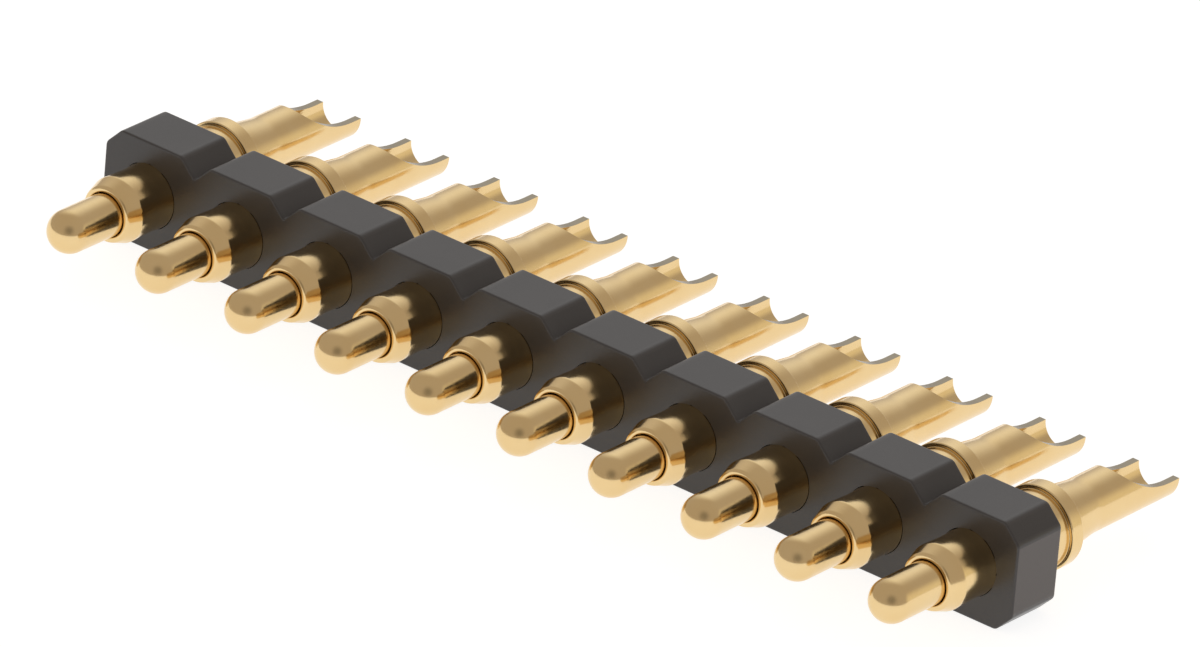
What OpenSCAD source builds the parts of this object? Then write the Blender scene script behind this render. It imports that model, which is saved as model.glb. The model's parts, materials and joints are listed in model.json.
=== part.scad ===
// Single-row spring-loaded header: a notched insulator strip that carries a row of turned contacts.
// Each contact is a barrel with a solder cup, a plunger that slides in it and the spring behind the plunger.
// X runs along the row, -Y is the plunger side, +Y the solder side, and Z = 0 is the strip's underside.

/* [Row] */
// Number of contacts
contacts = 10; // [2:1:18]
// Distance from one contact to the next
pitch = 2.54; // [2.3:0.02:4]

/* [Insulator] */
// Height of the strip
body_h = 2.54; // [2.2:0.02:4]
// Depth of the strip, from its front face to its back face
body_d = 1.46; // [1:0.02:3]
// Depth of the V-notches between the segments
notch_depth = 0.42; // [0.1:0.02:0.5]
// Width of the V-notches at the strip's surface
notch_w = 0.82; // [0.2:0.02:1.2]
// Radial room left round a barrel in its hole
press_clear = 0.01; // [0.005:0.005:0.03]

/* [Plunger] */
// Diameter of the plunger
plunger_dia = 1; // [0.8:0.02:1.2]
// Travel of the plunger
stroke = 1.4; // [0.8:0.05:1.45]
// Length of the plunger that still stands out of the barrel when it is pressed home
pressed_out = 0.27; // [0.1:0.01:0.6]
// Step from the plunger to the shoulder that keeps it in
shoulder_step = 0.08; // [0.05:0.01:0.12]
// Length of the shoulder, which guides the plunger
shoulder_len = 0.9; // [0.5:0.05:1.1]
// Length of the spigot that centres the spring
spigot_len = 0.35; // [0.15:0.05:0.6]

/* [Barrel] */
// Wall of the barrel round the spring
barrel_wall = 0.16; // [0.1:0.01:0.18]
// Length of the barrel in front of the strip
barrel_front = 1.4; // [1.2:0.05:2]
// Thickness of the rolled lip that holds the plunger
lip_t = 0.2; // [0.1:0.02:0.3]
// Width of the lip's front ring
lip_w = 0.11; // [0.06:0.01:0.13]
// Part of the lip's front ring that is rolled round into the nose
lip_roll = 0.09; // [0.02:0.01:0.1]
// Length of the tapered nose behind the lip
nose_len = 0.38; // [0.2:0.02:0.8]
// Step from the barrel to the collar that seats on the strip's back
collar_step = 0.12; // [0.06:0.01:0.15]
// Length of the collar, from the strip's back to the flange
collar_len = 0.86; // [0.7:0.02:2]
// Step from the collar to the flange
flange_step = 0.1; // [0.06:0.01:0.15]
// Thickness of the flange
flange_t = 0.38; // [0.2:0.02:0.6]
// Break on the edges of the collar and the flange
flange_chamfer = 0.04; // [0.02:0.01:0.05]
// Depth to which the spring's bore runs into the flange
flange_bore = 0.06; // [0:0.02:0.2]
// Length of the taper from the flange to the solder cup
taper_len = 1.05; // [0.5:0.01:1.5]

/* [Solder cup] */
// Outer diameter of the cup
cup_dia = 1.26; // [1:0.02:1.4]
// Wall of the cup
cup_wall = 0.17; // [0.1:0.01:0.22]
// Length of the cup's straight outside
cup_len = 2.67; // [2.2:0.05:4]
// Depth of the cup's bore
cup_depth = 2.5; // [2.2:0.05:3]
// Height of the cut-away cup's edges above its axis
cut_height = 0.12; // [0:0.02:0.3]
// Straight length of the cut, from the cup's end
cut_len = 0.85; // [0.5:0.05:1.2]
// Radius that the cutter leaves where the cut runs out
cutter_r = 1.2; // [0.8:0.05:1.6]

/* [Spring] */
// Diameter of the wire
wire_dia = 0.13; // [0.1:0.01:0.15]
// Turns that work
working_turns = 6; // [4:1:6]
// Closed turns at each end
end_turns = 1; // [0.5:0.5:1]
// Gap between the closed turns
closed_gap = 0.006; // [0.002:0.002:0.02]

/* [Fits] */
// Radial room round the plunger and its shoulder
run_clear = 0.02; // [0.015:0.005:0.03]
// Radial room between the spring, its bore and the spigot
spring_clear = 0.05; // [0.03:0.01:0.06]
// Room at each end face where two pieces seat
seat_gap = 0.02; // [0.01:0.01:0.05]

/* [Hidden] */
$fn = 64;
// Flats that stand for the round of a nose, for the rolled lip, for a turn of the spring and for its wire
nose_steps = 10;
roll_steps = 5;
turn_steps = 10;
wire_sides = 6;
// A cut reaches this far past the piece that it cuts
past = 1;

// Diameters, from the plunger outwards
lip_hole_dia = plunger_dia + 2 * run_clear;
lip_dia = lip_hole_dia + 2 * lip_w;
shoulder_dia = plunger_dia + 2 * shoulder_step;
spring_bore_dia = shoulder_dia + 2 * run_clear;
barrel_dia = spring_bore_dia + 2 * barrel_wall;
collar_dia = barrel_dia + 2 * collar_step;
flange_dia = collar_dia + 2 * flange_step;
barrel_hole_dia = barrel_dia + 2 * press_clear;
spring_dia = spring_bore_dia - 2 * spring_clear;
spigot_dia = spring_dia - 2 * wire_dia - 2 * spring_clear;
cup_bore_dia = cup_dia - 2 * cup_wall;

// Stations along a contact, from the tip of its plunger
lip_y = stroke + pressed_out;
front_y = lip_y + barrel_front;
back_y = front_y + body_d;
flange_y = back_y + collar_len;
taper_y = flange_y + flange_t;
cup_y = taper_y + taper_len;
end_y = cup_y + cup_len;
spring_floor_y = flange_y + flange_bore;
shoulder_y = lip_y + lip_t + seat_gap;
tail_y = shoulder_y + shoulder_len;

// The strip and the whole contact, set about the origin
row_len = contacts * pitch;
axis_z = body_h / 2;
mid_y = end_y / 2;

function numbered(name, i) = str(name, i < 10 ? "_0" : "_", i);
function contact_x(i) = (i - (contacts + 1) / 2) * pitch;

// Puts a shape that was turned about Z, with its plunger end at Z = 0, on the axis of contact i
module on_contact(i) {
    translate([contact_x(i), -mid_y, axis_z])
        rotate([-90, 0, 0])
            children();
}

// Front view of the strip: one edge of segments with a half notch at each end, and its mirror image below
function edge_points(z, notch) = [
    for (i = [0 : contacts - 1])
        for (p = [[0, notch], [notch_w / 2, 0], [pitch - notch_w / 2, 0]])
            [i * pitch - row_len / 2 + p[0], z + p[1]]
];

module strip_outline() {
    top = edge_points(body_h, -notch_depth);
    bottom = edge_points(0, notch_depth);
    right_end = [[row_len / 2, body_h - notch_depth], [row_len / 2, notch_depth]];
    polygon(concat(top, right_end, [for (k = [len(bottom) - 1 : -1 : 0]) bottom[k]]));
}

module insulator() {
    color("#2c2a2b")
        difference() {
            translate([0, back_y - mid_y, 0])
                rotate([90, 0, 0])
                    linear_extrude(body_d)
                        strip_outline();
            for (i = [1 : contacts])
                on_contact(i)
                    translate([0, 0, front_y - past])
                        cylinder(d = barrel_hole_dia, h = body_d + 2 * past);
        }
}

// Curve that rounds a corner of a section, from the side of one neighbouring point to the side of the other
function rounded(before, corner, after, reach) = [
    for (k = [0 : roll_steps])
        let (s = k / roll_steps, back = before - corner, on = after - corner)
        corner + reach * (pow(1 - s, 2) * back / norm(back) + s * s * on / norm(on))
];

// Half section of the turned barrel, outside first and then the plunger's bore
module barrel_section() {
    collar_y = back_y + seat_gap;
    lip_edge = [lip_hole_dia / 2, lip_y];
    nose_end = [barrel_dia / 2, lip_y + nose_len];
    polygon(concat(
        [lip_edge],
        rounded(lip_edge, [lip_dia / 2, lip_y], nose_end, lip_roll),
        [
            nose_end,
            [barrel_dia / 2, collar_y],
            [collar_dia / 2 - flange_chamfer, collar_y],
            [collar_dia / 2, collar_y + flange_chamfer],
            [collar_dia / 2, flange_y],
            [flange_dia / 2 - flange_chamfer, flange_y],
            [flange_dia / 2, flange_y + flange_chamfer],
            [flange_dia / 2, taper_y - flange_chamfer],
            [flange_dia / 2 - flange_chamfer, taper_y],
            [barrel_dia / 2, taper_y],
            [cup_dia / 2, cup_y],
            [cup_dia / 2, end_y],
            [0, end_y],
            [0, spring_floor_y],
            [spring_bore_dia / 2, spring_floor_y],
            [spring_bore_dia / 2, lip_y + lip_t],
            [lip_hole_dia / 2, lip_y + lip_t]
        ]
    ));
}

// What the drill and the side cutter take out of the cup; the turned shape's -Y points up on the strip
module cup_cut() {
    translate([0, 0, end_y - cup_depth])
        cylinder(d = cup_bore_dia, h = cup_depth + past);
    translate([0, -cut_height - cutter_r, end_y - cut_len])
        rotate([0, 90, 0])
            cylinder(r = cutter_r, h = cup_dia + 2 * past, center = true);
    translate([-cup_dia / 2 - past, -cut_height - cutter_r, end_y - cut_len])
        cube([cup_dia + 2 * past, cutter_r, cut_len + past]);
}

module barrel(i) {
    color("#d9b566")
        on_contact(i)
            difference() {
                rotate_extrude()
                    barrel_section();
                cup_cut();
            }
}

// Half section of the plunger: full-round nose, stem, shoulder and the spigot inside the spring
module plunger_section() {
    nose_r = plunger_dia / 2;
    polygon(concat(
        [for (k = [0 : nose_steps]) nose_r * [sin(90 * k / nose_steps), 1 - cos(90 * k / nose_steps)]],
        [
            [nose_r, shoulder_y],
            [shoulder_dia / 2, shoulder_y],
            [shoulder_dia / 2, tail_y],
            [spigot_dia / 2, tail_y],
            [spigot_dia / 2, tail_y + spigot_len],
            [0, tail_y + spigot_len]
        ]
    ));
}

module plunger(i) {
    color("#e3c277")
        on_contact(i)
            rotate_extrude()
                plunger_section();
}

// Height of the wire's centre after t turns: closed turns at both ends, even turns between them
function wire_height(t, free_len) =
    let (
        close = wire_dia + closed_gap,
        low = close * end_turns,
        high = free_len - wire_dia - low,
        u = (t - end_turns) / working_turns
    )
    wire_dia / 2 + (u < 0 ? close * t : u > 1 ? high + close * (t - end_turns - working_turns) : low + u * (high - low));

// One round of points about the wire's centre line after t turns
function wire_ring(t, free_len) = [
    for (k = [0 : wire_sides - 1])
        let (
            around = 360 * k / wire_sides,
            r = (spring_dia - wire_dia + wire_dia * cos(around)) / 2
        )
        [r * cos(360 * t), r * sin(360 * t), wire_height(t, free_len) + wire_dia / 2 * sin(around)]
];

module spring(i) {
    free_len = spring_floor_y - tail_y - 2 * seat_gap;
    turns = working_turns + 2 * end_turns;
    rings = turns * turn_steps;
    points = [for (j = [0 : rings]) each wire_ring(j / turn_steps, free_len)];
    sides = [
        for (j = [0 : rings - 1])
            for (k = [0 : wire_sides - 1])
                let (a = j * wire_sides, b = (k + 1) % wire_sides)
                each [[a + k, a + b, a + wire_sides + b], [a + k, a + wire_sides + b, a + wire_sides + k]]
    ];
    start_cap = [for (k = [wire_sides - 1 : -1 : 0]) k];
    end_cap = [for (k = [0 : wire_sides - 1]) rings * wire_sides + k];
    color("#b9b4a6")
        on_contact(i)
            translate([0, 0, tail_y + seat_gap])
                polyhedron(points, concat([start_cap, end_cap], sides));
}

insulator();
for (i = [1 : contacts]) {
    barrel(i);
    plunger(i);
    spring(i);
}
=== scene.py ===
# %% [markdown]
# # A row of sprung contacts in a notched strip
# This lesson dresses a small electrical header: a black moulded strip that carries ten gold-plated turned
# contacts. Each contact has a barrel with a cut-away solder cup at its back, and a round-nosed plunger that
# a hidden spring pushes out of its front.
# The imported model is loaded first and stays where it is. Every new piece is worked out in its millimetres
# and laid over it, so nothing has to be fitted by eye.

# %% Load the frame
import json
import math

import bmesh
import bpy
import numpy as np
from mathutils import Matrix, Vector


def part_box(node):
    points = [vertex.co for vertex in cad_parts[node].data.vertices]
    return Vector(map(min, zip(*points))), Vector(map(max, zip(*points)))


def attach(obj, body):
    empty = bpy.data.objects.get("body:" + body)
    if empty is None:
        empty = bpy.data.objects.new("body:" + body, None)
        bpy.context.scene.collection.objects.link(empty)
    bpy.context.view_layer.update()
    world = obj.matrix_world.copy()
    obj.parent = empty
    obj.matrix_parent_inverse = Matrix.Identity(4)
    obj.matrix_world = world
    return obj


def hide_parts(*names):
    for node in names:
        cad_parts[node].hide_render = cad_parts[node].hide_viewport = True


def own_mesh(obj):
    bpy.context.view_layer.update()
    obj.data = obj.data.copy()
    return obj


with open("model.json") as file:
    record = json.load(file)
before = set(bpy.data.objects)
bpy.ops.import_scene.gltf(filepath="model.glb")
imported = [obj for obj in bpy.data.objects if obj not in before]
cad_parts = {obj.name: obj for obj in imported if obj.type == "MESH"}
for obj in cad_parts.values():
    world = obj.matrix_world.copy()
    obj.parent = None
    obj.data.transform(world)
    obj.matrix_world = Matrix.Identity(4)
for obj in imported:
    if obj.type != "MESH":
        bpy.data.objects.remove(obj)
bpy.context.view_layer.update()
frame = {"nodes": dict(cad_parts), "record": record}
MM = 0.001

# %% [markdown]
# ## Reading sizes off the frame
# A learner could type every size again, but then the looks would drift away from the model. Where a piece's
# box gives a size it is read from there, and the solder cup's bore comes from the record's mounts. Only
# what a box can't tell is written down later, beside the piece that needs it, in millimetres.
# X runs along the row, Y from the plungers to the solder cups, and Z up.


# %% Measure the row
def box_mm(node):
    """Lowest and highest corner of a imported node, in millimetres."""
    low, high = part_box(node)
    return np.array(low) / MM, np.array(high) / MM


numbers = sorted(name.split("_")[1] for name in frame["nodes"] if name.startswith("barrel_"))
strip_low, strip_high = box_mm("insulator")
barrel_low, barrel_high = box_mm("barrel_01")
plunger_low, plunger_high = box_mm("plunger_01")
spring_low, spring_high = box_mm("spring_01")
cup_mount = next(m for m in frame["record"]["mounts"] if m["name"] == "solder_cup_01")

count = len(numbers)
pitch = (strip_high[0] - strip_low[0]) / count
contact_x = strip_low[0] + pitch * (np.arange(count) + 0.5)
axis_z = (strip_low[2] + strip_high[2]) / 2
front_y, back_y = strip_low[1], strip_high[1]
mouth_y, end_y = barrel_low[1], barrel_high[1]
tip_y, spigot_end_y = plunger_low[1], plunger_high[1]
print(f"strip: from y {front_y:.3f} to {back_y:.3f} mm")

# %% [markdown]
# ## Two helpers for every shape
# Each surface here is a grid: a function of two parameters gives one point for each row and column.
# Neighbouring grids share their edge points exactly, so merging the doubles closes the seams and the poles.
# A path with rounded corners serves both the strip's outline and the turned sections. A corner is pulled
# round by a quadratic curve, and a few points on the straight stretches keep the smooth shading flat
# between corners.

# %% Grids into a mesh
MERGE = 2e-8


def grid_faces(shape, first):
    """Corner numbers of a grid's faces: each point joins the next in its row and in its column."""
    n = first + np.arange(shape[0] * shape[1]).reshape(shape[:2])
    return np.stack([n[:-1, :-1], n[1:, :-1], n[1:, 1:], n[:-1, 1:]], -1).reshape(-1, 4)


def write_values(mesh, label, domain, values):
    """One number for each point or face of a mesh, under a name that a finish can read."""
    mesh.attributes.new(label, "FLOAT", domain).data.foreach_set("value", values.astype(np.float32))


def piece_from_grids(name, grids, masks=(), marks=()):
    """One closed, outward-facing piece from grids of points in millimetres.

    masks lists (attribute name, one grid of values for each grid of points), for finishes that fade.
    marks lists (attribute name, one value for each grid), for finishes that change at an edge.
    """
    sizes = [g.shape[0] * g.shape[1] for g in grids]
    firsts = np.cumsum([0] + sizes[:-1])
    points = np.concatenate([g.reshape(-1, 3) for g in grids]) * MM
    faces = np.concatenate([grid_faces(g.shape, f) for g, f in zip(grids, firsts)])
    mesh = bpy.data.meshes.new(name)
    mesh.from_pydata(points.tolist(), [], faces.tolist())
    for label, values in masks:
        spread = [np.broadcast_to(v, g.shape[:2]).ravel() for v, g in zip(values, grids)]
        write_values(mesh, label, "POINT", np.concatenate(spread))
    for label, values in marks:
        face_counts = [(g.shape[0] - 1) * (g.shape[1] - 1) for g in grids]
        write_values(mesh, label, "FACE", np.repeat(values, face_counts))
    work = bmesh.new()
    work.from_mesh(mesh)
    bmesh.ops.remove_doubles(work, verts=work.verts, dist=MERGE)
    bmesh.ops.recalc_face_normals(work, faces=work.faces)
    work.to_mesh(mesh)
    work.free()
    mesh.shade_smooth()
    piece = bpy.data.objects.new(name, mesh)
    bpy.context.scene.collection.objects.link(piece)
    return piece


# %% Paths with rounded corners
CORNER_STEPS = 7
STRAIGHTS = np.array([0.05, 0.5, 0.95])
BLOCK = CORNER_STEPS + len(STRAIGHTS)


def unit(v):
    """Vectors brought to length 1; a zero vector stays zero."""
    return v / np.maximum(np.linalg.norm(v, axis=-1, keepdims=True), 1e-12)


def rounded_path(corners, reach):
    """Points and directions of a closed path, as one block of samples for each corner.

    With P the corner, and back and on the steps of length reach towards its neighbours, the corner's curve is
    P + (1 - s)^2 back + s^2 on. Straight samples then lead to the next corner's curve.
    """
    corners = np.asarray(corners, float)
    reach = np.broadcast_to(np.asarray(reach, float), len(corners))[:, None]
    back = (unit(np.roll(corners, 1, 0) - corners) * reach)[:, None]
    on = (unit(np.roll(corners, -1, 0) - corners) * reach)[:, None]
    s = np.linspace(0, 1, CORNER_STEPS)[:, None]
    curve = corners[:, None] + (1 - s) ** 2 * back + s**2 * on
    leaves, meets = curve[:, -1:], np.roll(curve[:, :1], -1, 0)
    straight = leaves + STRAIGHTS[:, None] * (meets - leaves)
    ways = np.broadcast_to(unit(meets - leaves), straight.shape)
    return np.concatenate([curve, straight], 1), np.concatenate([unit(s * on - (1 - s) * back), ways], 1)


def open_path(corners, reach):
    """A rounded path from its first corner to its last, without the stretch that would close it."""
    inner = np.broadcast_to(reach, len(corners) - 2)
    points, _ = rounded_path(corners, np.concatenate([[0], inner, [0]]))
    return points.reshape(-1, 2)[CORNER_STEPS - 1 : (len(corners) - 1) * BLOCK + 1]


print("helpers: grids, and paths of", BLOCK, "samples for each corner")

# %% [markdown]
# ## The moulded strip
# The strip is one moulding that can be snapped to length: a V-notch between the segments on top and below,
# and a pressed-in barrel in each segment. It could be a bevelled extrusion with ten holes cut by a boolean,
# but that leaves long thin faces round the holes, and they shade badly.
# Here the outline is a rounded path. A skin carries it through the strip's depth, drawn in a little at the
# two faces so that the moulded edge is round. Each face is then filled by ten caps, whose rings of points
# shrink from the segment's outline to its hole.

# %% Outline of the strip
NOTCH_DEPTH, NOTCH_W = 0.42, 0.82
SHOULDER_REACH, NOTCH_REACH = 0.08, 0.04

gap_x = strip_low[0] + pitch * np.arange(count + 1)
edge_x = np.append((gap_x[:-1, None] + [0, NOTCH_W / 2, pitch - NOTCH_W / 2]).ravel(), gap_x[-1])
drop = np.append(np.tile([NOTCH_DEPTH, 0, 0], count), NOTCH_DEPTH)
upper = np.stack([edge_x, strip_high[2] - drop], 1)
lower = np.stack([edge_x, strip_low[2] + drop], 1)[::-1]
is_notch = (drop > 0) & (np.abs(edge_x) < gap_x[-1] - pitch / 2)
in_notch = np.concatenate([is_notch, is_notch[::-1]])
corner_reach = np.where(in_notch, NOTCH_REACH, SHOULDER_REACH)
outline, ways = rounded_path(np.concatenate([upper, lower]), corner_reach)
outline, ways = outline.reshape(-1, 2), ways.reshape(-1, 2)
outward = np.stack([-ways[:, 1], ways[:, 0]], 1)
print("strip outline:", len(outline), "points")

# %% Skin of the strip
MOULD_EDGE, EDGE_STEPS = 0.04, 5


def in_strip(xz, y):
    """Points of the strip from front-view points and a depth, which broadcast against each other."""
    xz, y = np.broadcast_arrays(xz, np.asarray(y, float)[..., None])
    return np.stack([xz[..., 0], y[..., 0], xz[..., 1]], -1)


def strip_skin():
    """Outline carried from front to back: drawn in by e(1 - sin a) while y grows by e(1 - cos a)."""
    a = np.linspace(0, np.pi / 2, EDGE_STEPS)
    inset, y = MOULD_EDGE * (1 - np.sin(a)), MOULD_EDGE * (1 - np.cos(a))
    middle = front_y + (back_y - front_y) * STRAIGHTS
    depth = np.concatenate([front_y + y, middle, back_y - y[::-1]])
    inset = np.concatenate([inset, np.zeros(len(middle)), inset[::-1]])
    rings = outline - outward * inset[:, None, None]
    return in_strip(np.concatenate([rings, rings[:, :1]], 1), depth[:, None])


# %% Caps of the strip
HOLE_R, HOLE_RINGS = 0.77, 4
SEGMENT_CORNERS = 3
CAP_RINGS = np.array([0, 0.04, 0.35, 0.7, 0.96, 1])[:, None, None]


def segment_rings():
    """The closed ring of points where each segment's flat face ends, of shape (segments, points, 2)."""
    flat = outline - outward * MOULD_EDGE
    stride = SEGMENT_CORNERS * BLOCK
    steps = CORNER_STEPS // 2 + np.arange(stride + 1)
    i = np.arange(count)[:, None]
    over = i * stride + steps
    under = count * stride + BLOCK + (count - 1 - i) * stride + steps
    share = (np.arange(1, BLOCK) / BLOCK)[:, None]
    right = flat[over[:, -1:]] + share * (flat[under[:, :1]] - flat[over[:, -1:]])
    left = np.roll(right[:, ::-1], 1, 0)
    right[-1] = flat[over[-1, -1] + np.arange(1, BLOCK)]
    left[0] = flat[(under[0, -1] + np.arange(1, BLOCK)) % len(flat)]
    return np.concatenate([flat[over], right, flat[under], left, flat[over[:, :1]]], 1)


def strip_caps():
    """Faces and hole walls: rings that go from a segment's outline to its hole, (1 - t) ring + t circle."""
    rings = segment_rings()
    centre = np.stack([contact_x, np.full(count, axis_z)], 1)[:, None]
    circles = centre + HOLE_R * unit(rings - centre)
    caps = [(1 - CAP_RINGS) * ring + CAP_RINGS * circle for ring, circle in zip(rings, circles)]
    faces = [in_strip(cap, np.full((1, 1), y)) for cap in caps for y in (front_y, back_y)]
    depth = np.linspace(front_y, back_y, HOLE_RINGS)[:, None]
    return faces + [in_strip(circle, depth) for circle in circles]


# %% Make the strip
SHARP_ANGLE = 50
AT_END = 1e-4

skin = strip_skin()
caps = strip_caps()
across = np.zeros(skin.shape[0])
across[1 : EDGE_STEPS - 1] = 1
across[1 - EDGE_STEPS : -1] = 1
along = np.tile(np.concatenate([np.ones(CORNER_STEPS), np.zeros(len(STRAIGHTS))]), len(outline) // BLOCK)
along[np.repeat(in_notch, BLOCK)] = 0
# The edge mask marks the rounded edges, where the finish paints wear and a painted highlight.
edge_mask = np.maximum(across[:, None], np.append(along, along[0])[None])
# The end mask marks the two snapped ends, which the finish paints paler: partly the broken surface, partly
# painted light on the end face.
snapped_lit_mask = (np.abs(skin[..., 0]) > strip_high[0] - AT_END).astype(float)
no_mask = [0.0] * len(caps)
strip_masks = [("edge", [edge_mask] + no_mask), ("snapped_and_lit", [snapped_lit_mask] + no_mask)]
strip = piece_from_grids("moulded_strip", [skin] + caps, strip_masks)
strip.data.set_sharp_from_angle(angle=math.radians(SHARP_ANGLE))
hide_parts("insulator")
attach(strip, "strip")
print("strip:", len(strip.data.polygons), "faces")

# %% [markdown]
# ## The turned barrels
# A barrel is turned from bar: a tapered nose with a rolled lip that keeps the plunger in, a straight part
# that the strip grips, a collar that seats on the strip's back, a flange, a second taper and the solder
# cup. The cup is drilled, and a side cutter then takes its upper half away, so that a wire can be laid in.
# Between the nose and the strip the barrel is drawn in by a few hundredths of a millimetre. Nobody would
# see that in the outline, but a mirror shows it: it decides where the strip's dark reflection begins.
# The turned part is a profile carried round the axis. The cut could be a boolean, but its edges would be
# ragged, so the cup is made of grids whose edges follow the cutter: the height along the cut runs from the
# flat edges up to the crown as h + (r - h) cos^2, and the cutter's circle gives the place along the axis
# for each height.

# %% Sizes of a barrel
BARREL_R, SPRING_BORE_R = 0.76, 0.6
LIP_R, LIP_HOLE_R, LIP_T, NOSE_LEN = 0.63, 0.52, 0.2, 0.38
WAIST, WAIST_AT = 0.028, 0.72
COLLAR_R, COLLAR_LEN, FLANGE_T, TAPER_LEN = 0.88, 0.86, 0.38, 1.05
CUP_R, CUP_START = 0.63, 0.2
CUT_HEIGHT, CUT_LEN, CUTTER_R = 0.02, 0.3, 2.1
SEAT_GAP = 0.02

flange_r = (barrel_high[0] - barrel_low[0]) / 2
bore_r, bore_len = cup_mount["dims"]["r_mm"], cup_mount["dims"]["length_mm"]
nose_end_y = mouth_y + NOSE_LEN
waist_y = nose_end_y + WAIST_AT * (front_y - nose_end_y)
floor_y = spring_high[1] + SEAT_GAP
collar_y = back_y + SEAT_GAP
flange_y = back_y + COLLAR_LEN
taper_y = flange_y + FLANGE_T
cup_y = taper_y + TAPER_LEN
bore_y = end_y - bore_len
cut_y = end_y - CUT_LEN
print(f"barrel: flange {2 * flange_r:.2f} mm across at y {flange_y:.3f}, cup bore {2 * bore_r:.2f} mm")

# %% Section of a barrel
TIGHT, EASED, TURNED_EDGE = 0.02, 0.03, 0.04
LIP_ROLL, LIP_EASE, WAIST_REACH, CUP_REACH = 0.07, 0.035, 0.2, 0.1


def barrel_profile():
    """Half section of the turned part, from the bottom of the spring's bore out over the lip to the cup.

    Each corner is its radius, its station along the axis and the reach of its rounding.
    """
    corners = np.array([
        (0, floor_y, 0),
        (SPRING_BORE_R, floor_y, TIGHT),
        (SPRING_BORE_R, mouth_y + LIP_T, TIGHT),
        (LIP_HOLE_R, mouth_y + LIP_T, TIGHT),
        (LIP_HOLE_R, mouth_y, LIP_EASE),
        (LIP_R, mouth_y, LIP_ROLL),
        (BARREL_R, nose_end_y, EASED),
        (BARREL_R - WAIST, waist_y, WAIST_REACH),
        (BARREL_R, front_y, TURNED_EDGE),
        (BARREL_R, collar_y, TIGHT),
        (COLLAR_R, collar_y, TURNED_EDGE),
        (COLLAR_R, flange_y, TIGHT),
        (flange_r, flange_y, TURNED_EDGE),
        (flange_r, taper_y, TURNED_EDGE),
        (BARREL_R, taper_y, EASED),
        (CUP_R, cup_y, CUP_REACH),
        (CUP_R, cup_y + CUP_START, 0),
    ])
    return open_path(corners[:, :2], corners[1:-1, 2])


# %% Points about a contact's axis
SIDE = np.linspace(-1, 1, 41)
AROUND = np.linspace(0, 1, 57)


def about_axis(x, radius, station, angle):
    """Points at a radius and a station, at an angle a from the top: (x + r sin a, station, z + r cos a)."""
    r, y, a = np.broadcast_arrays(radius, station, angle)
    return np.stack([x + r * np.sin(a), y, axis_z + r * np.cos(a)], -1)


def crown(r):
    """Angle and cutter station along the cut through a cup wall of radius r, from flat edge to flat edge."""
    height = CUT_HEIGHT + (r - CUT_HEIGHT) * np.cos(np.pi / 2 * SIDE) ** 2
    below = CUT_HEIGHT + CUTTER_R - height
    angle = np.sign(SIDE) * np.arccos(np.clip(height / r, -1, 1))
    return angle, cut_y - np.sqrt(np.maximum(CUTTER_R**2 - below**2, 0))


def trough(r):
    """Angles round the lower part of a cup wall of radius r, from flat edge to flat edge."""
    edge = np.arccos(CUT_HEIGHT / r)
    return edge + AROUND * (2 * np.pi - 2 * edge)


def all_round(r):
    """Angles all round a cup wall of radius r: over the crown of the cut, then through the trough."""
    return np.concatenate([crown(r)[0], trough(r)[1:]])


# %% Grids of a barrel
WALL = np.array([0, 0.05, 0.35, 0.7, 0.94, 1])[:, None]
THROUGH = np.linspace(0, 1, 5)[:, None]


def cup_wall(x, r, start):
    """One wall of the cup: all round up to the cut, then its lower part on to the end."""
    _, cut = crown(r)
    low = trough(r)
    stop = np.concatenate([cut, np.full(len(low) - 1, cut_y)])
    whole = about_axis(x, r, start + WALL * (stop - start), all_round(r))
    return [whole, about_axis(x, r, cut_y + WALL * (end_y - cut_y), low)]


def cup_rim(x):
    """What the cutter leaves between the two walls: the scoop, the two flat edges and the end face."""
    r = bore_r + THROUGH * (CUP_R - bore_r)
    angle, cut = (np.stack(rows) for rows in zip(*(crown(v) for v in r.ravel())))
    scoop = about_axis(x, r, cut, angle)
    edge = np.arccos(CUT_HEIGHT / r)
    flats = [about_axis(x, r, cut_y + WALL.T * (end_y - cut_y), side * edge) for side in (-1, 1)]
    end_face = about_axis(x, r, end_y, np.stack([trough(v) for v in r.ravel()]))
    return [scoop] + flats + [end_face]


def barrel_grids(x):
    """The grids of the barrel whose axis stands at x, and for each whether the side cutter made it."""
    profile = barrel_profile()
    turned = about_axis(x, profile[:, :1], profile[:, 1:], all_round(CUP_R))
    bottom = about_axis(x, bore_r * THROUGH, bore_y, all_round(bore_r))
    walls = cup_wall(x, CUP_R, cup_y + CUP_START) + cup_wall(x, bore_r, bore_y)
    rim = cup_rim(x)
    return [turned, bottom] + walls + rim, [0] * (2 + len(walls)) + [1] * len(rim)


# %% Make the barrels
BREAK_W, BREAK_SEGMENTS, BREAK_ANGLE = 0.012, 2, 40

barrels = []
for number, x in zip(numbers, contact_x):
    grids, was_cut = barrel_grids(x)
    barrel = piece_from_grids(f"turned_barrel_{number}", grids, marks=[("cut", was_cut)])
    broken = barrel.modifiers.new("broken edges", "BEVEL")
    broken.width = BREAK_W * MM
    broken.segments = BREAK_SEGMENTS
    broken.limit_method = "ANGLE"
    broken.angle_limit = math.radians(BREAK_ANGLE)
    broken.harden_normals = True
    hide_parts(f"barrel_{number}")
    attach(barrel, "strip")
    barrels.append(barrel)
print("barrels:", len(barrels), "of", len(barrels[0].data.polygons), "faces")

# %% [markdown]
# ## The plungers and their springs
# A plunger is a turned pin: a full-round nose, a stem, a shoulder that stops behind the barrel's lip, and a
# spigot that centres the spring. Its nose is a quarter circle in the profile, so the dome is truly round.
# The spring is a wire carried along a helix, with a closed turn at each end. It can't be seen from outside,
# but it is what moves the plunger, so it is made whole.

# %% Make the plungers
PLUNGER_R, SHOULDER_LEN, SPIGOT_LEN, SPIGOT_R = 0.5, 0.9, 0.35, 0.37
DOME_STEPS = 17
LATHE = np.linspace(0, 2 * np.pi, 97)

shoulder_r = (plunger_high[0] - plunger_low[0]) / 2
tail_y = spigot_end_y - SPIGOT_LEN
shoulder_y = tail_y - SHOULDER_LEN


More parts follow.
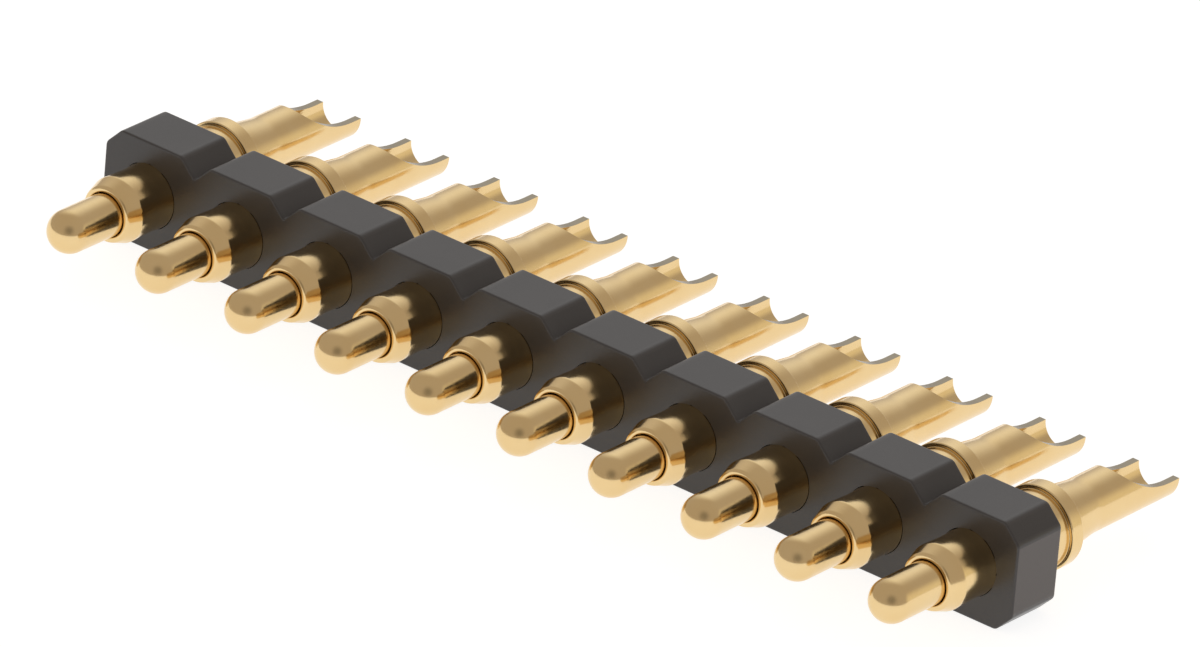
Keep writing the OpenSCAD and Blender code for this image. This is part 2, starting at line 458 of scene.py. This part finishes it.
def plunger_profile():
    """Half section of the plunger: a quarter circle r (sin a, 1 - cos a) and then the stepped stem."""
    a = np.linspace(0, np.pi / 2, DOME_STEPS)[:-1]
    dome = np.stack([PLUNGER_R * np.sin(a), tip_y + PLUNGER_R * (1 - np.cos(a))], 1)
    stem = [(PLUNGER_R, tip_y + PLUNGER_R), (PLUNGER_R, shoulder_y)]
    shoulder = [(shoulder_r, shoulder_y), (shoulder_r, tail_y)]
    spigot = [(SPIGOT_R, tail_y), (SPIGOT_R, spigot_end_y), (0, spigot_end_y)]
    return np.concatenate([dome, open_path(stem + shoulder + spigot, TIGHT)])


section = plunger_profile()
plungers = []
for number, x in zip(numbers, contact_x):
    lathed = about_axis(x, section[:, :1], section[:, 1:], LATHE)
    plunger = piece_from_grids(f"turned_plunger_{number}", [lathed])
    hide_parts(f"plunger_{number}")
    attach(plunger, f"plunger_{number}")
    plungers.append(plunger)
print("plungers:", len(plungers), "of", len(plungers[0].data.polygons), "faces")

# %% Grid of a spring
WIRE_R, SPRING_R, END_TURNS, WORKING_TURNS = 0.065, 0.485, 1, 6
CLOSED_PITCH = 0.136
TURN_STEPS, WIRE_STEPS = 36, 12

spring_start, spring_end = spring_low[1], spring_high[1]


def coil_station(t):
    """Place of the wire's centre along the axis after t turns: closed at both ends, even turns between."""
    low, high = spring_start + WIRE_R, spring_end - WIRE_R
    turns = np.cumsum([0, END_TURNS, WORKING_TURNS, END_TURNS])
    return np.interp(t, turns, [low, low + CLOSED_PITCH, high - CLOSED_PITCH, high])


def spring_grid(x):
    """Wire of radius w carried along the helix: radius R + w cos p, station h(t) + w sin p.

    At both ends w is 0, so the wire is closed there.
    """
    turns = WORKING_TURNS + 2 * END_TURNS
    t = np.linspace(0, turns, turns * TURN_STEPS + 1)
    t = np.concatenate([t[:1], t, t[-1:]])[:, None]
    w = np.full_like(t, WIRE_R)
    w[[0, -1]] = 0
    p = np.linspace(0, 2 * np.pi, WIRE_STEPS + 1)
    return about_axis(x, SPRING_R + w * np.cos(p), coil_station(t) + w * np.sin(p), 2 * np.pi * t + np.pi / 2)


# %% Make the springs
springs = []
for number, x in zip(numbers, contact_x):
    spring = piece_from_grids(f"coil_spring_{number}", [spring_grid(x)])
    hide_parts(f"spring_{number}")
    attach(spring, "strip")
    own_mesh(spring)
    springs.append(spring)
print("springs:", len(springs), "of", len(springs[0].data.polygons), "faces")

# %% [markdown]
# ## Node helpers
# A finish is a small network of shader nodes. One helper adds a node and feeds its sockets, with a plain
# value or with another node's output, so that each finish below reads as a list of what it does.


# %% Add nodes
def add(tree, kind, inputs=None, **settings):
    """One shader node: settings are its options, inputs its values or the sockets that feed it."""
    made = tree.nodes.new(kind)
    for key, value in settings.items():
        setattr(made, key, value)
    for key, value in (inputs or {}).items():
        if isinstance(value, bpy.types.NodeSocket):
            tree.links.new(value, made.inputs[key])
        else:
            made.inputs[key].default_value = value
    return made


def math_node(tree, operation, a, b=0.0):
    """Output of one arithmetic step."""
    return add(tree, "ShaderNodeMath", {0: a, 1: b}, operation=operation).outputs[0]


def span(tree, value, low, high):
    """A value from 0 to 1 brought to a range."""
    return add(tree, "ShaderNodeMapRange", {"Value": value, "To Min": low, "To Max": high}).outputs[0]


def blend_colour(tree, share, first, second):
    """First colour where share is 0, second where it is 1."""
    mix = add(tree, "ShaderNodeMix", {0: share, 6: first, 7: second}, data_type="RGBA")
    return mix.outputs[2]


def painted(tree, label):
    """Value of an attribute of the mesh, 0 where the mesh has none of that name."""
    return add(tree, "ShaderNodeAttribute", attribute_name=label).outputs["Fac"]


# %% Add finishes and groups
def new_finish(name):
    """A material with its own tree and its shader."""
    finish = bpy.data.materials.new(name)
    finish.use_nodes = True
    return finish, finish.node_tree, finish.node_tree.nodes["Principled BSDF"]


def feed_bump(tree, shader, height, strength, distance):
    """Bends the shader's normal by a height from 0 to 1, which stands for a distance in metres."""
    bump = add(tree, "ShaderNodeBump", {"Strength": strength, "Distance": distance, "Height": height})
    tree.links.new(bump.outputs["Normal"], shader.inputs["Normal"])


def new_group(name, inputs, outputs):
    """A shader group with float inputs and outputs; returns its tree and the sockets inside."""
    group = bpy.data.node_groups.new(name, "ShaderNodeTree")
    for label in inputs:
        group.interface.new_socket(label, in_out="INPUT", socket_type="NodeSocketFloat")
    for label in outputs:
        group.interface.new_socket(label, in_out="OUTPUT", socket_type="NodeSocketFloat")
    return group, group.nodes.new("NodeGroupInput").outputs, group.nodes.new("NodeGroupOutput").inputs


print("node helpers ready")

# %% [markdown]
# ## Two effects that the finishes share
# Nothing real has one even tone. *Drift* is a slow, soft change over a millimetre or so, from moulding or
# plating. *Turning rings* are the fine grooves that a lathe tool leaves: bands that depend on the place
# along the axis alone, broken up a little so that they don't look drawn. Both are groups, so each finish
# sets its own values. They read Object coordinates, which are metres, so a scale of 1000 is one wave for
# each millimetre.

# %% Drift group
drift, given, gives = new_group("drift", ["Scale", "Detail"], ["Value"])
place = add(drift, "ShaderNodeTexCoord").outputs["Object"]
waves = {"Vector": place, "Scale": given["Scale"], "Detail": given["Detail"]}
cloud = add(drift, "ShaderNodeTexNoise", waves)
drift.links.new(cloud.outputs["Fac"], gives["Value"])


def drifting(tree, scale, detail):
    """Value of the drift group in a finish's tree."""
    return add(tree, "ShaderNodeGroup", {"Scale": scale, "Detail": detail}, node_tree=drift).outputs["Value"]


# %% Turning rings group
WOBBLE = {"Scale": 1500.0, "Detail": 2.0}
BROAD_SHARE = 0.12

turning, given, gives = new_group("turning rings", ["Rings per metre", "Breakup"], ["Height", "Streak"])
place = add(turning, "ShaderNodeTexCoord").outputs["Object"]
parts = add(turning, "ShaderNodeSeparateXYZ", {0: place}).outputs
even = math_node(turning, "MULTIPLY", parts["Y"], given["Rings per metre"])
wobble = add(turning, "ShaderNodeTexNoise", {"Vector": place, **WOBBLE}).outputs["Fac"]
moved = math_node(turning, "ADD", even, math_node(turning, "MULTIPLY", wobble, given["Breakup"]))


def bands(ring, detail):
    """Random bands along one coordinate, with one wave for each unit of it."""
    noise = {"W": ring, "Scale": 1.0, "Detail": detail}
    return add(turning, "ShaderNodeTexNoise", noise, noise_dimensions="1D").outputs["Fac"]


turning.links.new(bands(moved, detail=2.0), gives["Height"])
turning.links.new(bands(math_node(turning, "MULTIPLY", moved, BROAD_SHARE), detail=1.0), gives["Streak"])
print("groups:", [g.name for g in bpy.data.node_groups])

# %% [markdown]
# ## Black moulding
# The strip is a black, glass-filled plastic. It is nearly black, a touch warm, with a satin skin: most of
# the grey that the eye sees on it is the white room in that skin. Fine grain breaks the shine. The moulded
# edges are painted a little paler, partly as wear and partly as a painted highlight along them. The two ends,
# where the strip was snapped off a longer one, are rougher, and painted paler: partly the broken surface,
# partly painted light on the lit end face.

# %% Black moulding finish
BLACK_DEEP, BLACK_PALE = (0.036, 0.033, 0.033, 1), (0.058, 0.053, 0.053, 1)
# The paler edge colour is partly wear and partly a painted highlight along the rounded edges.
# The paler end colour is partly the broken surface and partly painted light on the lit end face.
BLACK_WORN_HIGHLIGHT, BLACK_SNAPPED_LIT = (0.080, 0.074, 0.072, 1), (0.130, 0.118, 0.116, 1)
WEAR_HIGHLIGHT_SHARE, RUB_SMOOTHER = 0.5, 0.1
SNAP_ROUGHER, SNAP_GRAIN = 0.12, 4.0
SKIN_SMOOTH, SKIN_ROUGH, SKIN_SPECULAR = 0.28, 0.40, 0.6

moulding, tree, shader = new_finish("satin black moulding")
slow = drifting(tree, scale=700.0, detail=4.0)
fine = drifting(tree, scale=26000.0, detail=5.0)
snapped_and_lit = painted(tree, "snapped_and_lit")
# Mask along the rounded edges: wear, and a painted highlight there.
wear_and_highlight = math_node(tree, "MULTIPLY", painted(tree, "edge"), span(tree, slow, 0.0, WEAR_HIGHLIGHT_SHARE))

toned = blend_colour(tree, slow, BLACK_DEEP, BLACK_PALE)
# Painted highlight, mixed with wear, along the moulded edges.
paler = blend_colour(tree, wear_and_highlight, toned, BLACK_WORN_HIGHLIGHT)
# Painted light on the snapped ends, mixed with the paler broken surface.
tree.links.new(blend_colour(tree, snapped_and_lit, paler, BLACK_SNAPPED_LIT), shader.inputs["Base Color"])
rougher = math_node(tree, "MULTIPLY", snapped_and_lit, SNAP_ROUGHER)
smoother = math_node(tree, "MULTIPLY", wear_and_highlight, RUB_SMOOTHER)
roughness = math_node(tree, "ADD", span(tree, fine, SKIN_SMOOTH, SKIN_ROUGH), rougher)
tree.links.new(math_node(tree, "SUBTRACT", roughness, smoother), shader.inputs["Roughness"])
torn = math_node(tree, "MULTIPLY", slow, math_node(tree, "MULTIPLY", snapped_and_lit, SNAP_GRAIN))
feed_bump(tree, shader, math_node(tree, "ADD", fine, torn), strength=0.35, distance=0.000006)
shader.inputs["Specular IOR Level"].default_value = SKIN_SPECULAR
strip.data.materials.append(moulding)
print("finish:", moulding.name)

# %% [markdown]
# ## Gold plating
# The contacts are copper alloy with a bright, thin plating of gold. It is a true metal, so its colour is
# the colour of its reflection, and what gives it form is the strip, the floor and the lights that it
# mirrors. The plating follows the turned surface under it, so the rings stay visible, and its tone drifts a
# little from one place to the next. The barrels and the plungers were turned with different feeds, so they
# get their own values. The faces that the side cutter left are shown as bare metal: greyer and duller than
# the plating. The cut could be a piece of its own, but a mark on those faces is enough for the finish to
# tell them apart.

# %% Gold finishes
PALE_GOLD, DEEP_GOLD = (0.82, 0.63, 0.345, 1), (0.78, 0.555, 0.26, 1)
DARK_BARE, PALE_BARE = (0.30, 0.26, 0.19, 1), (0.40, 0.35, 0.26, 1)
RING_BREAKUP, RING_STRENGTH, CUT_ROUGHER = 0.6, 0.25, 0.16


def gold_finish(name, feed, smooth, rough, depth):
    """Gold plating over turned metal: the rings for each metre, the range of roughness and the rings' depth.

    Where the piece is marked as cut, the plating is gone: greyer, duller and without the lathe's rings.
    """
    finish, tree, shader = new_finish(name)
    slow = drifting(tree, scale=1100.0, detail=3.0)
    rings = {"Rings per metre": feed, "Breakup": RING_BREAKUP}
    turned = add(tree, "ShaderNodeGroup", rings, node_tree=turning).outputs
    cut = painted(tree, "cut")
    plated = blend_colour(tree, slow, PALE_GOLD, DEEP_GOLD)
    bare = blend_colour(tree, slow, DARK_BARE, PALE_BARE)
    tree.links.new(blend_colour(tree, cut, plated, bare), shader.inputs["Base Color"])
    shader.inputs["Metallic"].default_value = 1.0
    duller = math_node(tree, "MULTIPLY", cut, CUT_ROUGHER)
    streaked = span(tree, turned["Streak"], smooth, rough)
    tree.links.new(math_node(tree, "ADD", streaked, duller), shader.inputs["Roughness"])
    ringed = math_node(tree, "MULTIPLY", turned["Height"], math_node(tree, "SUBTRACT", 1.0, cut))
    feed_bump(tree, shader, ringed, strength=RING_STRENGTH, distance=depth)
    return finish


barrel_gold = gold_finish("gold over turned barrel", feed=38000.0, smooth=0.12, rough=0.21, depth=0.0000014)
plunger_gold = gold_finish("gold over turned plunger", feed=60000.0, smooth=0.12, rough=0.22, depth=0.0000012)
for barrel in barrels:
    barrel.data.materials.append(barrel_gold)
for plunger in plungers:
    plunger.data.materials.append(plunger_gold)
print("finishes:", barrel_gold.name, "and", plunger_gold.name)

# %% [markdown]
# ## Spring wire
# The springs are drawn stainless wire: greyer than the plating and a little duller, with the die's fine
# streaks.

# %% Spring wire finish
WIRE_DARK, WIRE_PALE = (0.60, 0.57, 0.51, 1), (0.68, 0.65, 0.6, 1)
WIRE_SMOOTH, WIRE_ROUGH = 0.24, 0.42

wire, tree, shader = new_finish("drawn spring wire")
slow = drifting(tree, scale=2500.0, detail=2.0)
fine = drifting(tree, scale=30000.0, detail=2.0)
tree.links.new(blend_colour(tree, slow, WIRE_DARK, WIRE_PALE), shader.inputs["Base Color"])
shader.inputs["Metallic"].default_value = 1.0
tree.links.new(span(tree, fine, WIRE_SMOOTH, WIRE_ROUGH), shader.inputs["Roughness"])
feed_bump(tree, shader, fine, strength=0.2, distance=0.000001)
for spring in springs:
    spring.data.materials.append(wire)
print("finish:", wire.name)

# %% [markdown]
# ## Floor and light
# The header lies on a plain white sheet in a white tent. The floor is pale and takes the object's shadow;
# for the camera and for mirror-like metal it also glows a little, so that it reads as white without more
# light on the object.
# The tent is the world. Its brightest part is a soft panel behind and to the left; the rest is a duller,
# slightly warm white, and the opening that the camera looks through is darker still. Low down behind and to
# the right, where the tent runs out into the sheet, it is pale and warm, and the solder cups mirror that
# part. In an even white room the gold would look flat: its brown middle tones are the dull part of the
# tent, and the dark spot on each dome is the opening.

# %% Floor
FLOOR_SIZE, FLOOR_POINTS = 3.0, 9
PAPER_GLOW = 0.86
PAPER_SEEN, PAPER_BOUNCE = (0.4, 0.4, 0.4, 1), (0.8, 0.8, 0.8, 1)

u = np.linspace(-FLOOR_SIZE / 2, FLOOR_SIZE / 2, FLOOR_POINTS)
sheet = np.stack([*np.meshgrid(u, u, indexing="ij"), np.zeros((FLOOR_POINTS, FLOOR_POINTS))], -1)
floor_mesh = bpy.data.meshes.new("white_floor")
floor_mesh.from_pydata(sheet.reshape(-1, 3).tolist(), [], grid_faces(sheet.shape, 0)[:, ::-1].tolist())
floor = bpy.data.objects.new("white_floor", floor_mesh)
bpy.context.scene.collection.objects.link(floor)

paper = bpy.data.materials.new("white paper")
paper.use_nodes = True
tree = paper.node_tree
tree.nodes.clear()
rays = add(tree, "ShaderNodeLightPath").outputs
mirrored = math_node(tree, "MAXIMUM", rays["Is Glossy Ray"], rays["Is Transmission Ray"])
seen = math_node(tree, "MAXIMUM", rays["Is Camera Ray"], mirrored)
glow = add(tree, "ShaderNodeEmission", {"Strength": PAPER_GLOW})
shaded = add(tree, "ShaderNodeBsdfDiffuse", {"Color": PAPER_SEEN})
lit = add(tree, "ShaderNodeAddShader", {0: shaded.outputs[0], 1: glow.outputs[0]})
bounce = add(tree, "ShaderNodeBsdfDiffuse", {"Color": PAPER_BOUNCE})
sheet_shader = add(tree, "ShaderNodeMixShader", {0: seen, 1: bounce.outputs[0], 2: lit.outputs[0]})
add(tree, "ShaderNodeOutputMaterial", {"Surface": sheet_shader.outputs[0]})
floor_mesh.materials.append(paper)
print("floor:", FLOOR_SIZE, "m of white paper")

# %% World
PANEL, DULL, SWEEP = (0.96, 0.96, 0.96, 1), (0.50, 0.455, 0.415, 1), (0.95, 0.88, 0.70, 1)
BLACK, WHITE = (0, 0, 0, 1), (1, 1, 1, 1)
PANEL_WAY = unit(np.array([-0.45, 0.70, 0.55]))
SWEEP_WAY = unit(np.array([0.66, 0.71, 0.05]))
OPENING_WAY = unit(np.array([0.544, -0.71, 0.447]))
SWEEP_SHARE, OPENING_SHARE = 0.8, 0.45

world = bpy.data.worlds.new("white tent")
bpy.context.scene.world = world
world.use_nodes = True
tree = world.node_tree
tree.nodes.clear()
way = add(tree, "ShaderNodeTexCoord").outputs["Generated"]


def spot(towards, outer, inner):
    """1 within the inner angle of a direction, 0 outside the outer one, smooth between (degrees)."""
    facing = add(tree, "ShaderNodeVectorMath", {0: way, 1: tuple(towards)}, operation="DOT_PRODUCT")
    away = math_node(tree, "ARCCOSINE", facing.outputs["Value"])
    limits = {"Value": away, "From Min": math.radians(outer), "From Max": math.radians(inner)}
    return add(tree, "ShaderNodeMapRange", limits, interpolation_type="SMOOTHSTEP").outputs[0]


panel_share = spot(PANEL_WAY, outer=42, inner=0)
sweep_share = math_node(tree, "MULTIPLY", spot(SWEEP_WAY, outer=30, inner=5), SWEEP_SHARE)
opening_share = math_node(tree, "MULTIPLY", spot(OPENING_WAY, outer=36, inner=4), OPENING_SHARE)
with_panel = blend_colour(tree, panel_share, DULL, PANEL)
with_sweep = blend_colour(tree, sweep_share, with_panel, SWEEP)
tent = blend_colour(tree, opening_share, with_sweep, BLACK)
rays = add(tree, "ShaderNodeLightPath").outputs
sky_colour = blend_colour(tree, rays["Is Camera Ray"], tent, WHITE)
sky = add(tree, "ShaderNodeBackground", {"Color": sky_colour, "Strength": 1.0})
add(tree, "ShaderNodeOutputWorld", {"Surface": sky.outputs[0]})
print("tent: panel", PANEL[:3], "dull", DULL[:3], "sweep", SWEEP[:3])

# %% [markdown]
# ## Camera
# The camera looks down on the row from the front right through a very long lens, so the ten contacts are
# nearly the same size. Its place was fitted to the plungers' noses, the cups' tips and the strip's corners.
# It is turned a little about its own axis, so the row climbs more steeply than it would in a level picture.

# %% Camera
AZIMUTH, ELEVATION, ROLL = (math.radians(v) for v in (37.46, 26.52, 5.02))
TARGET = np.array([-0.895, 1.046, 1.27])
DISTANCE = 378.16
FOCAL_PX, IMAGE_W_PX, SENSOR_W = 17616, 1200, 36.0
NEAREST, FARTHEST = 0.01, 20

level = np.array([-math.sin(AZIMUTH), math.cos(AZIMUTH), 0])
ahead = level * math.cos(ELEVATION) + np.array([0, 0, -math.sin(ELEVATION)])
right = np.array([math.cos(AZIMUTH), math.sin(AZIMUTH), 0])
up = np.cross(right, ahead)
across_axis = right * math.cos(ROLL) + up * math.sin(ROLL)
up_axis = up * math.cos(ROLL) - right * math.sin(ROLL)
stand = np.eye(4)
stand[:3, :3] = np.stack([across_axis, up_axis, -ahead], 1)
stand[:3, 3] = (TARGET - ahead * DISTANCE) * MM

lens = bpy.data.cameras.new("camera")
lens.sensor_width = SENSOR_W
lens.lens = SENSOR_W * FOCAL_PX / IMAGE_W_PX
lens.clip_start, lens.clip_end = NEAREST, FARTHEST
camera = bpy.data.objects.new("camera", lens)
bpy.context.scene.collection.objects.link(camera)
camera.matrix_world = Matrix(stand.tolist())
bpy.context.scene.camera = camera
bpy.context.scene.view_settings.view_transform = "Standard"
print(f"camera: {lens.lens:.0f} mm lens at {DISTANCE:.0f} mm")
